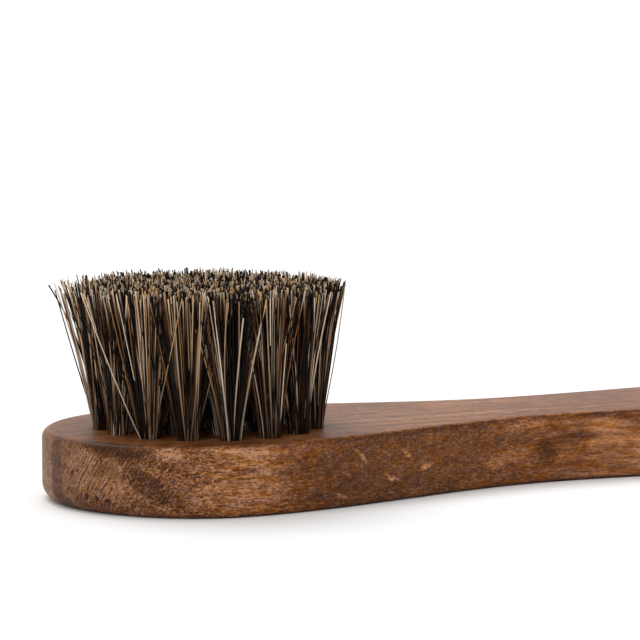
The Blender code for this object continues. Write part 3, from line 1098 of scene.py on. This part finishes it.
# Painted shade: the lower part of every hair is darkened.
painted_base_shade = 1 - way_along.step(0.35, 0.80)
polish_and_base_shade = (1 - grime) * 0.24 + painted_base_shade * 0.50 + own_numbers["Value"] * 0.36
polish_and_base_shade = polish_and_base_shade * (1 - pick.step(0.86, 1.0) * 0.7)

cut_end = way_along.step(0.984, 0.988)
bleached = (way_along.step(0.89, 0.98) * 0.60 + cut_end * 0.24) * pick.step(0.45, 0.70)
end_colour = g.ramp(g.white_noise(strip + 0.5)["Value"], END_COLOURS)

TINTS = {
    "rust": (rusty * 0.55, (0.300, 0.095, 0.026)),
    "faded brown": (faded * 0.30, (0.430, 0.200, 0.065)),
    "gold": (golden * 0.34, (0.640, 0.340, 0.100)),
    "grey": (greyed * 0.36, (0.640, 0.590, 0.520)),
    "old polish and painted base shade": (polish_and_base_shade, (0.010, 0.005, 0.003)),
    "bleached end": (bleached, end_colour),
}
hair_colour = g.ramp(pick, HAIR_COLOURS)
for amount, tint in TINTS.values():
    hair_colour = g.mix(amount, hair_colour, tint)
g.surface({
    "Base Color": hair_colour,
    "Roughness": 0.45,
    "Specular IOR Level": 0.08,
    "Coat Weight": pick.step(0.55, 0.80) * own_parts["Red"] * 0.5,
    "Coat Roughness": 0.25,
})
print("hair material nodes:", len(hair.node_tree.nodes))

# %% [markdown]
# ## Stray hairs
#
# Trimming never catches every hair: a few stand out past the rest and show against a pale background.
# Random numbers don't put one where the eye expects it, so these few are listed one by one. A stray is
# a thin tube that leaves the outer edge of the nearest tuft and curls away from it, and it is merged
# into the mesh of that tuft. Its turn is in degrees from +X, its reach is in mm from the middle of the
# tufts, and its height is a share of the hair's length.

# %% Choose the stray hairs
STRAYS = {
    "long one at the left": {"turn": 155, "reach": 26.9, "height": 0.99, "curl": 1.9, "strip": 4},
    "short one at the left": {"turn": 152, "reach": 23.7, "height": 0.80, "curl": 1.1, "strip": 20},
    "shorter one by it": {"turn": 158, "reach": 23.3, "height": 0.72, "curl": 1.0, "strip": 60},
    "golden one at the left": {"turn": 161, "reach": 24.9, "height": 0.98, "curl": 1.3, "strip": 46},
    "white one at the left": {"turn": 149, "reach": 24.6, "height": 1.00, "curl": 1.25, "strip": 61},
    "tan one at the left": {"turn": 166, "reach": 24.5, "height": 0.95, "curl": 1.2, "strip": 52},
    "golden one at the right": {"turn": -27, "reach": 23.3, "height": 1.00, "curl": 1.5, "strip": 43},
    "pale one at the right": {"turn": -20, "reach": 22.7, "height": 0.94, "curl": 1.4, "strip": 62},
    "one at the back": {"turn": 75, "reach": 24.9, "height": 0.95, "curl": 1.6, "strip": 50},
    "one at the front": {"turn": -100, "reach": 24.8, "height": 0.86, "curl": 1.4, "strip": 58},
}
STRAY_RADIUS = 0.13 * MM
STRAY_STEPS = 9
STRAY_MAP_FROM = 0.3
STRAY_MAP_LENGTH = 0.6


def stray_direction(stray):
    turn = math.radians(stray["turn"])
    return Vector((math.cos(turn), math.sin(turn)))


def stray_path(stray, centre):
    """Points from just inside the hole's edge to the tip."""
    outwards = stray_direction(stray)
    root = centre + outwards * (TUFT_SIZES["Bundle radius"] - STRAY_RADIUS)
    tip = outwards * stray["reach"] * MM
    path = [Vector((root.x, root.y, BOARD_TOP - MM))]
    for i in range(STRAY_STEPS + 1):
        share = i / STRAY_STEPS
        spot = root.lerp(tip, share ** stray["curl"])
        path.append(Vector((spot.x, spot.y, BOARD_TOP + share * stray["height"] * HAIR_LENGTH)))
    return path


def add_stray(bm, map_layer, path, own_strip):
    """A closed tube along the path, mapped to one strip of the hair map."""
    rings = []
    for i, spot in enumerate(path):
        heading = path[min(i + 1, len(path) - 1)] - path[max(i - 1, 0)]
        turn = heading.to_track_quat("Z", "Y")
        ring = []
        for k in range(HAIR_SIDES):
            angle = 2 * math.pi * k / HAIR_SIDES
            rim = turn @ Vector((math.cos(angle), math.sin(angle), 0)) * STRAY_RADIUS
            ring.append(bm.verts.new(spot + rim))
        rings.append(ring)
    faces = [bm.faces.new(reversed(rings[0])), bm.faces.new(rings[-1])]
    for low, high in zip(rings, rings[1:]):
        for k in range(HAIR_SIDES):
            j = (k + 1) % HAIR_SIDES
            faces.append(bm.faces.new((low[k], low[j], high[j], high[k])))
    level = {vert: i / len(path) for i, ring in enumerate(rings) for vert in ring}
    for face in faces:
        face.smooth = True
        for corner in face.loops:
            map_y = STRAY_MAP_FROM + STRAY_MAP_LENGTH * level[corner.vert]
            corner[map_layer].uv = ((own_strip + 0.5) / PALETTE_STRIPS, map_y)


def add_strays(mesh, strays, centre):
    bm = bmesh.new()
    bm.from_mesh(mesh)
    map_layer = bm.loops.layers.uv["OFBake"]
    for stray in strays:
        add_stray(bm, map_layer, stray_path(stray, centre), stray["strip"])
    bm.to_mesh(mesh)
    bm.free()


print("stray hairs:", len(STRAYS))

# %% Give each stray to its nearest tuft
strays_of = {}
for stray in STRAYS.values():
    outwards = stray_direction(stray)
    nearest = max(tuft_centres, key=lambda name: tuft_centres[name].dot(outwards))
    strays_of.setdefault(nearest, []).append(stray)
print("tufts with strays:", sorted(strays_of))

# %% Grow every tuft
HAIR_CREASE = math.radians(80)
socket_ids = {item.name: item.identifier for item in interface.items_tree if item.in_out == "INPUT"}


def grow_tuft(name, centre, seed):
    inputs = {"Seed": seed, "Centre X": centre.x, "Centre Y": centre.y, "Material": hair}
    inputs["Darkness"] = TUFT_DARKNESS.get(name, TUFT_SIZES["Darkness"])
    if name in WORN_TUFTS:
        inputs.update(WORN_SIZES)
    tuft = add_object(name + "_hair", bpy.data.meshes.new(name + "_hair"))
    modifier = tuft.modifiers.new("tuft", "NODES")
    modifier.node_group = tree
    for key, value in inputs.items():
        modifier[socket_ids[key]] = value
    bake_modifiers(tuft)
    if name in strays_of:
        add_strays(tuft.data, strays_of[name], centre)
    tuft.data.set_sharp_from_angle(angle=HAIR_CREASE)
    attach(tuft, "root")
    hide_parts(name)
    return tuft


tufts = [grow_tuft(name, centre, seed) for seed, (name, centre) in enumerate(tuft_centres.items(), 1)]
print("hair faces:", sum(len(tuft.data.polygons) for tuft in tufts))

# %% [markdown]
# ## The staples
#
# The staples keep their solids from the frame. They only need bright drawn steel wire. Nothing in this
# lesson makes room for their legs, which run into the wood below the holes as if they had bitten in.

# %% Give the staples their steel
steel, g = new_material("drawn steel wire")
drawing_marks = g.noise(g.node("ShaderNodeTexCoord")["Object"], 3000.0, 3.0, 0.6)
g.surface({
    "Base Color": g.mix(drawing_marks, (0.42, 0.42, 0.43), (0.62, 0.62, 0.63)),
    "Metallic": 1.0,
    "Roughness": 0.25 + drawing_marks * 0.25,
})
for name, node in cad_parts.items():
    if name.startswith("staple"):
        for slot in node.material_slots:
            slot.material = steel
print("staples dressed")
